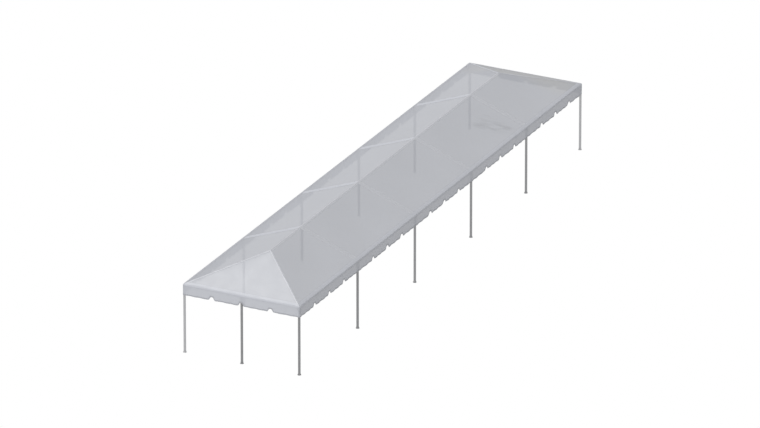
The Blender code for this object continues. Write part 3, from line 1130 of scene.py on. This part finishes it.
def add_bolt(parts, seat, direction):
    """A hexagon head on its washer, seated on a tube and facing direction."""
    place = aimed(seat, direction)
    washer = [
        (WASHER_RADIUS, -WASHER_SUNK),
        (WASHER_RADIUS, WASHER_THICKNESS - EDGE_BREAK / 2),
        (WASHER_RADIUS - EDGE_BREAK / 2, WASHER_THICKNESS),
    ]
    head = [(BOLT_RADIUS, 0.0), (BOLT_RADIUS, BOLT_SHOULDER), (BOLT_CROWN, BOLT_HEIGHT)]
    parts.add(*lathe(washer, WASHER_SIDES, place))
    parts.add(*lathe(head, BOLT_CORNERS, place))


def make_bolts(shade):
    """Bolts through the shoes and the leg sockets, and set screws under the other sockets."""
    bolts = Parts()
    for place, inwards in leg_places().values():
        across = inwards.cross(UP)
        for way in (-1, 1):
            add_bolt(bolts, place + across * way * SHOE_RADIUS + UP * SHOE_BOLT_HEIGHT, across * way)
        for drop in LEG_BOLT_DROPS:
            add_bolt(bolts, place + inwards * SOCKET_RADIUS + UP * (EAVE_Z - drop), inwards)
    for side in (-1, 1):
        rise = rafter_rise(side)
        under = Vector((-side * sin(SLOPE), 0, -cos(SLOPE)))
        for y in BAY_LINES[1:-1]:
            eave = Vector((side * EAVE_X, y, EAVE_Z))
            low = rafter_foot(side, y) + rise * (RAFTER_SOCKET - BOLT_FROM_END)
            high = ridge_axis(y) - rise * (RIDGE_SOCKET - BOLT_FROM_END)
            for point in (low, high):
                add_bolt(bolts, point + under * ROOF_SOCKET_RADIUS, under)
            for way in (-1, 1):
                off = Vector((0, way * (SIDE_SOCKET - BOLT_FROM_END), 0))
                add_bolt(bolts, eave + off - UP * SOCKET_RADIUS, -UP)
                add_bolt(bolts, ridge_axis(y) + off - UP * ROOF_SOCKET_RADIUS, -UP)
        for end in (-1, 1):
            corner = Vector((side * EAVE_X, end * EAVE_Y, EAVE_Z))
            reach = CORNER_SOCKET - BOLT_FROM_END
            for inwards in (Vector((-side, 0, 0)), Vector((0, -end, 0))):
                add_bolt(bolts, corner + inwards * reach - UP * SOCKET_RADIUS, -UP)
    piece = bolts.piece("frame_bolts", shade)


def strap_rows(path, normals, along):
    """Cross-sections of webbing along a path."""
    half = along * STRAP_WIDTH / 2
    rows = []
    for point, normal in zip(path, normals):
        thick = normal * STRAP_THICKNESS / 2
        near, far = point - half, point + half
        rows.append([near + thick, far + thick, far - thick, near - thick])
    return rows


def strap_cuts(count, length):
    """Metres across and along a strap, for each point of its rows."""
    half = STRAP_WIDTH / 2
    return [(x, length * r / count) for r in range(count) for x in (-half, half, half, -half)]


def add_strap(straps, centre, inwards):
    """A strap round the eave tube with the tail that hangs from its buckle."""
    along = inwards.cross(UP)
    outs = [swung(inwards, UP, t) for t in turns(STRAP_STEPS)]
    loop = [centre + out * STRAP_RADIUS for out in outs]
    girth = 2 * pi * STRAP_RADIUS
    straps.add(*band(strap_rows(loop, outs, along), ring=True), strap_cuts(STRAP_STEPS, girth))
    out = swung(inwards, UP, BUCKLE_TURN)
    down = out.cross(along)
    start = centre + out * (BUCKLE_RADIUS - STRAP_THICKNESS) + down * BUCKLE_HALF_HEIGHT * TAIL_START
    path, normals = [], []
    for k in range(TAIL_STEPS + 1):
        bend = min(1.0, TAIL_BEND_PACE * k / TAIL_STEPS)
        heading = (down * (1 - bend) - UP * bend).normalized()
        path.append(start if k == 0 else path[-1] + heading * TAIL_LENGTH / TAIL_STEPS)
        normals.append(along.cross(heading))
    straps.add(*band(strap_rows(path, normals, along)), strap_cuts(TAIL_STEPS + 1, TAIL_LENGTH))


def add_buckle(buckles, centre, inwards):
    """A cam buckle: a bent frame of round bar, its cross bar and its lever plate."""
    along = inwards.cross(UP)
    out = swung(inwards, UP, BUCKLE_TURN)
    up = along.cross(out)
    middle = centre + out * BUCKLE_RADIUS
    wide, high = BUCKLE_HALF_WIDTH - BUCKLE_CORNER, BUCKLE_HALF_HEIGHT - BUCKLE_CORNER
    rows = []
    for i, (sx, sy) in enumerate(((1, 1), (-1, 1), (-1, -1), (1, -1))):
        for k in range(BUCKLE_CORNER_STEPS + 1):
            radial = swung(along, up, pi / 2 * (i + k / BUCKLE_CORNER_STEPS))
            point = middle + along * sx * wide + up * sy * high + radial * BUCKLE_CORNER
            rows.append(round_section(point, radial, out))
    buckles.add(*band(rows, ring=True))
    ends = [middle - along * wide, middle + along * wide]
    buckles.add(*band([round_section(point, up, out) for point in ends]))
    lean = Matrix.Rotation(LEVER_LEAN, 4, along)
    lever = []
    for share in LEVER_STATIONS:
        point = middle + out * BUCKLE_BAR + lean @ (up * (share * LEVER_LENGTH))
        half = along * wide * (LEVER_ROOT - LEVER_TAPER * share)
        thick = lean @ out * LEVER_THICKNESS
        lever.append([point - half, point + half, point + half + thick, point - half + thick])
    buckles.add(*band(lever))


def round_section(point, first, second):
    """A round cross-section of a buckle's bar, in the plane of two unit vectors."""
    return [point + swung(first, second, t) * BUCKLE_BAR for t in turns(BUCKLE_BAR_SIDES)]


def make_straps(webbing, metal):
    """A strap and buckle behind the middle of each valance tab, holding the canopy to the eave tube."""
    straps, buckles = Parts(), Parts()
    seats = []
    for side in (-1, 1):
        for k in range(BAYS * TABS_PER_BAY):
            y = -HALF_LENGTH + TAB * (k + 0.5)
            seats.append((Vector((side * EAVE_X, y, EAVE_Z)), Vector((-side, 0, 0))))
        for k in range(TABS_PER_BAY):
            x = -HALF_WIDTH + TAB * (k + 0.5)
            seats.append((Vector((x, side * EAVE_Y, EAVE_Z)), Vector((0, -side, 0))))
    for centre, inwards in seats:
        add_strap(straps, centre, inwards)
        add_buckle(buckles, centre, inwards)
    straps.piece("eave_straps", webbing, smooth=50)
    buckles.piece("strap_buckles", metal, smooth=40)


make_camera()
make_studio()

CANOPY_CLOTH = cloth_shade("canopy_cloth", level=0.628, see_through=0.088, glow=0.08, marked=True)
VALANCE_CLOTH = cloth_shade("valance_cloth", level=0.670, see_through=0.05, glow=0.08)
# The paler tape copy is a painted highlight on the left slope's strips and its back hip
HIGHLIGHT_TAPE = cloth_shade("highlight_tape_cloth", level=0.785, roughness=0.40)
PLAIN_TAPE = cloth_shade("plain_tape_cloth", level=0.744, roughness=0.42, blue=PLAIN_TAPE_BLUE)
# The band's darker copy is painted shade along the left eave
PLAIN_BAND = cloth_shade("plain_band_cloth", level=0.715)
SHADED_BAND = cloth_shade("shaded_band_cloth", level=0.61)
HEM_CLOTH = cloth_shade("hem_cloth", level=0.53, glow=0.05)
WEBBING = webbing_shade("strap_webbing", level=0.78)
FRAME_METAL = metal_shade("frame_metal", level=0.50, roughness=0.34, grain=GRAIN_ALONG)
LEG_METAL = metal_shade("leg_metal", level=0.50, roughness=0.36, grain=GRAIN_UP)
# Darker and lighter copies of the leg metal, given to a few of the legs
DARKER_LEG_METAL = metal_shade("darker_leg_metal", level=0.44, roughness=0.40, grain=GRAIN_UP)
BRIGHT_LEG_METAL = metal_shade("bright_leg_metal", level=0.72, roughness=0.32, grain=GRAIN_UP)
ODD_LEGS = {
    "leg_front_middle": DARKER_LEG_METAL,
    "leg_right_1": DARKER_LEG_METAL,
    "leg_right_2": DARKER_LEG_METAL,
    "leg_left_1": BRIGHT_LEG_METAL,
    "leg_right_6": BRIGHT_LEG_METAL,
}
FITTING_METAL = cast_shade("fitting_metal", level=0.62)

METALS = {"frame_metal": FRAME_METAL, "leg_metal": LEG_METAL, "fitting_metal": FITTING_METAL}
for part in frame["record"]["subparts"]:
    if part["material_slot"] in METALS:
        node = frame["nodes"][part["node"]]
        node.data.materials.clear()
        node.data.materials.append(METALS[part["material_slot"]])

canopy = make_canopy(CANOPY_CLOTH, VALANCE_CLOTH)
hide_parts("roof_panel_left", "roof_panel_right", "roof_hip_front", "roof_hip_back")
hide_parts("valance_left", "valance_right", "valance_front", "valance_back")
trim = make_tapes(HIGHLIGHT_TAPE, PLAIN_TAPE)
trim += [make_eave_band(PLAIN_BAND, SHADED_BAND), make_hem(HEM_CLOTH)]
make_legs(LEG_METAL, ODD_LEGS)
make_weld_beads(FRAME_METAL)
make_bolts(FITTING_METAL)
make_straps(WEBBING, FITTING_METAL)
